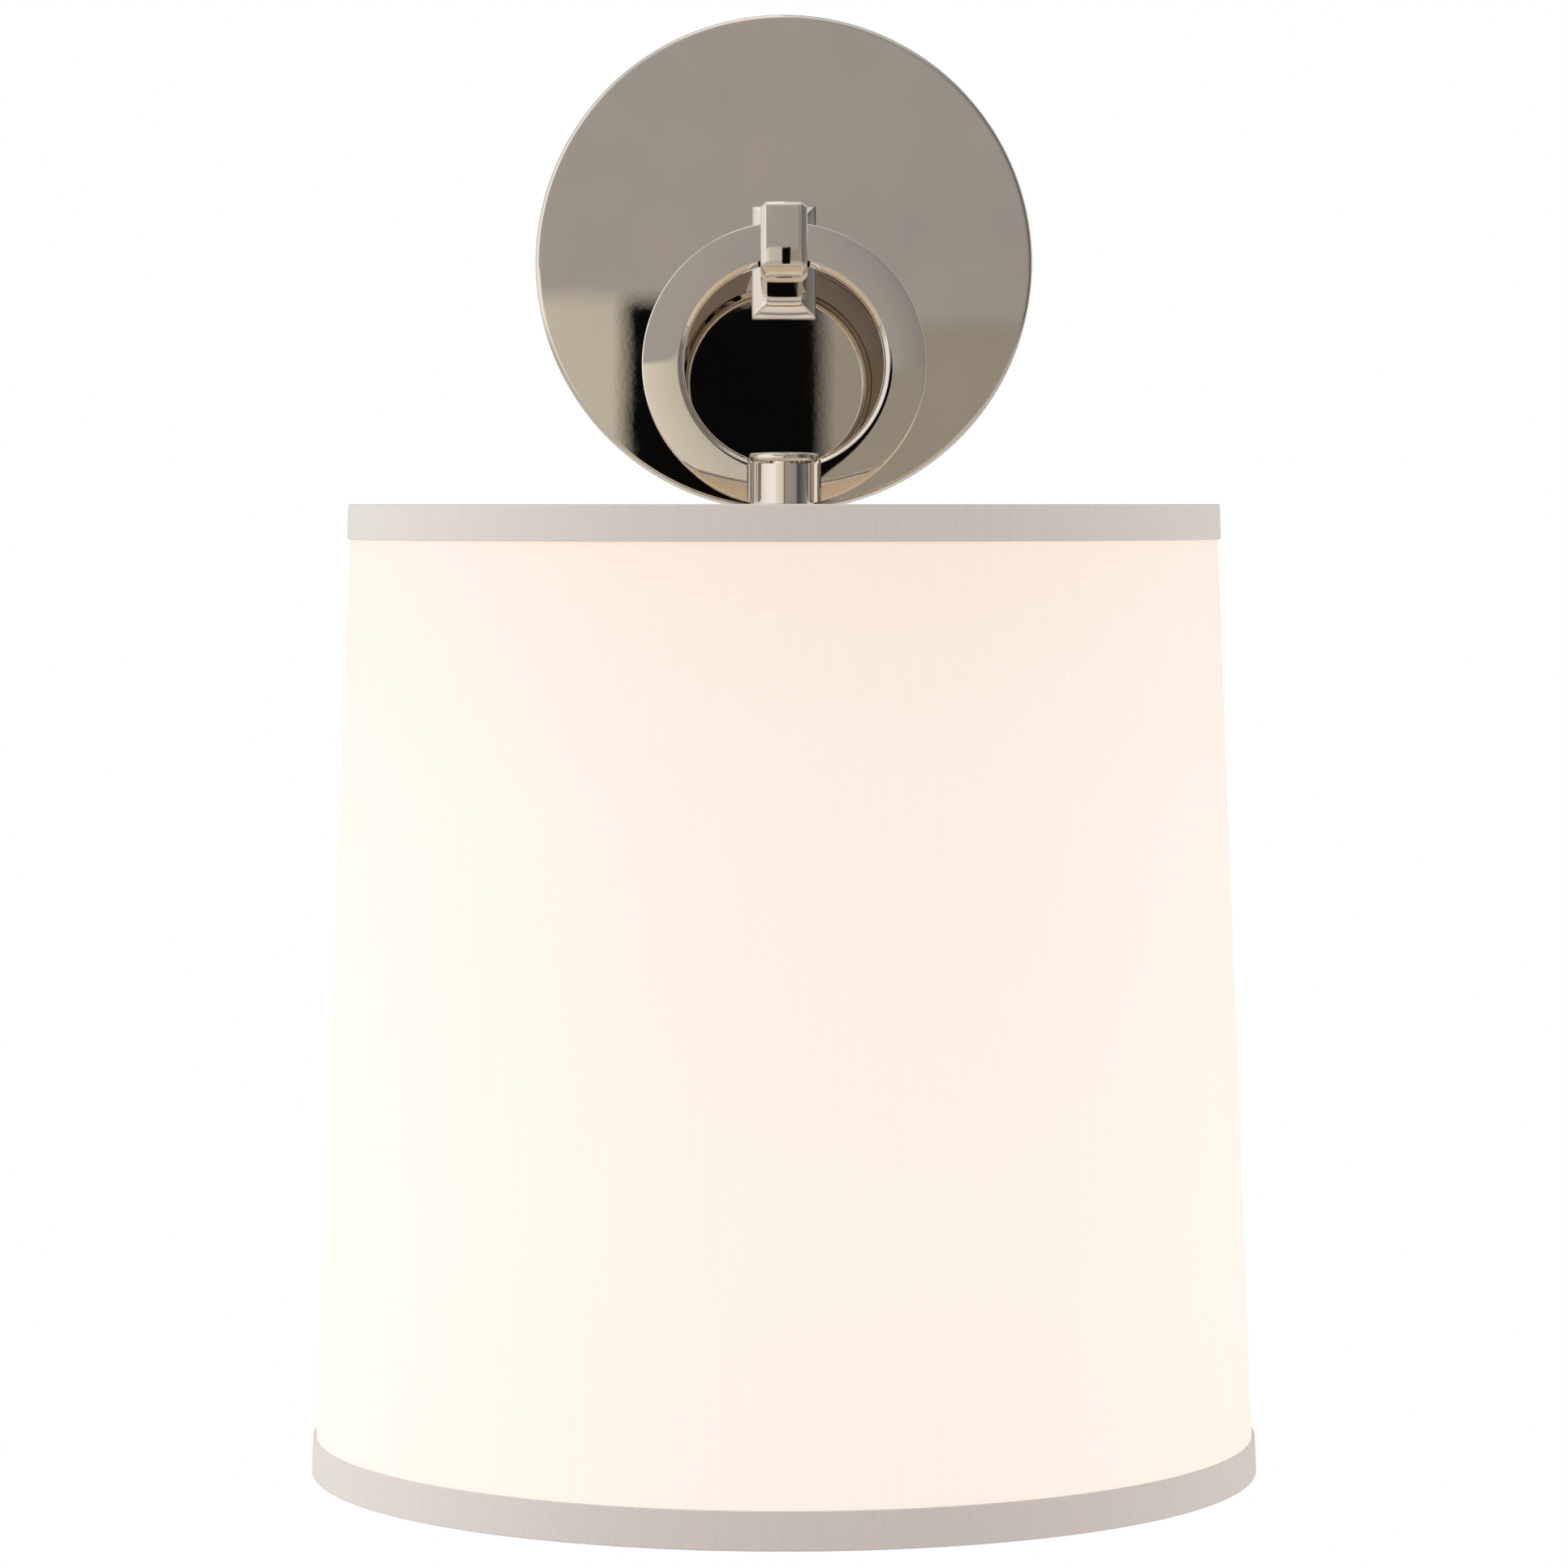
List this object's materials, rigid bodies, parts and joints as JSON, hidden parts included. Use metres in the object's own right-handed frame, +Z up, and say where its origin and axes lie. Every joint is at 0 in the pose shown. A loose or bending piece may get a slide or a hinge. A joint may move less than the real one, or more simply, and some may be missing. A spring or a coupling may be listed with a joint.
{
  "type": "wall lamp",
  "caption": "Wall lamp with a round backplate, a straight eye-ended arm, a ring hung in the eye, and a tapered fabric drum shade below the ring over a screw-in bulb.",
  "frame": {"origin": "centre of the round backplate, on the wall plane at its open back", "axes": "+Z up, +Y into the wall, +X to the right as seen from the room; the lamp stands out towards -Y"},
  "size_m": [0.1778, 0.1909, 0.2817],
  "materials": {
    "polished_nickel": "warm polished nickel",
    "zinc_plated_steel": "zinc plated",
    "brass": "plain",
    "silk_shade": "fine woven cover on a stiff lining, lit from inside",
    "silk_trim": "folded tape",
    "white_enamel": "gloss enamel",
    "porcelain": "glazed porcelain",
    "frosted_glass": "frosted",
    "black_insulation": "satin",
    "white_insulation": "satin",
    "green_insulation": "satin",
    "grey_sleeving": "woven sleeving"
  },
  "bodies": {
    "wall_side": {"wall_strap": "zinc_plated_steel", "backplate": "polished_nickel", "set_screw_left": "zinc_plated_steel", "set_screw_right": "zinc_plated_steel", "ground_screw": "green_insulation", "hook_arm": "polished_nickel", "arm_nipple": "zinc_plated_steel", "lock_washer": "zinc_plated_steel", "nipple_nut": "zinc_plated_steel", "arm_wire_sleeve": "grey_sleeving", "live_lead": "black_insulation", "neutral_lead": "white_insulation", "ground_lead": "green_insulation", "live_wire_nut": "black_insulation", "neutral_wire_nut": "white_insulation"},
    "ring_and_shade": {"ring": "polished_nickel", "ring_back_cover": "polished_nickel", "ring_cuff": "polished_nickel", "stem": "polished_nickel", "stem_cap": "polished_nickel", "ring_lead": "grey_sleeving", "shade_panel": "silk_shade", "top_trim": "silk_trim", "bottom_trim": "silk_trim", "top_frame_ring": "white_enamel", "bottom_frame_ring": "white_enamel", "spider_hub": "white_enamel", "spider_spoke_1": "white_enamel", "spider_spoke_2": "white_enamel", "spider_spoke_3": "white_enamel", "socket_cap": "polished_nickel", "socket_lock_nut": "zinc_plated_steel", "socket_body": "porcelain", "screw_shell": "brass", "centre_contact": "brass", "live_terminal_screw": "brass", "neutral_terminal_screw": "brass", "live_pigtail": "black_insulation", "neutral_pigtail": "white_insulation"},
    "bulb": {"bulb_glass": "frosted_glass", "bulb_cap": "brass", "bulb_insulator": "black_insulation", "bulb_tip_contact": "zinc_plated_steel", "bulb_mount": "frosted_glass", "bulb_filament": "zinc_plated_steel"}
  },
  "joints": [
    {"name": "ring_swing", "type": "hinge", "parent": "wall_side", "child": "ring_and_shade", "pos_m": [0, -0.102, 0], "axis": [1, 0, 0], "range_deg": [-6, 3]},
    {"name": "bulb_out", "type": "slide", "parent": "ring_and_shade", "child": "bulb", "axis": [0, 0, -1], "range_m": [0, 0.16]}
  ]
}
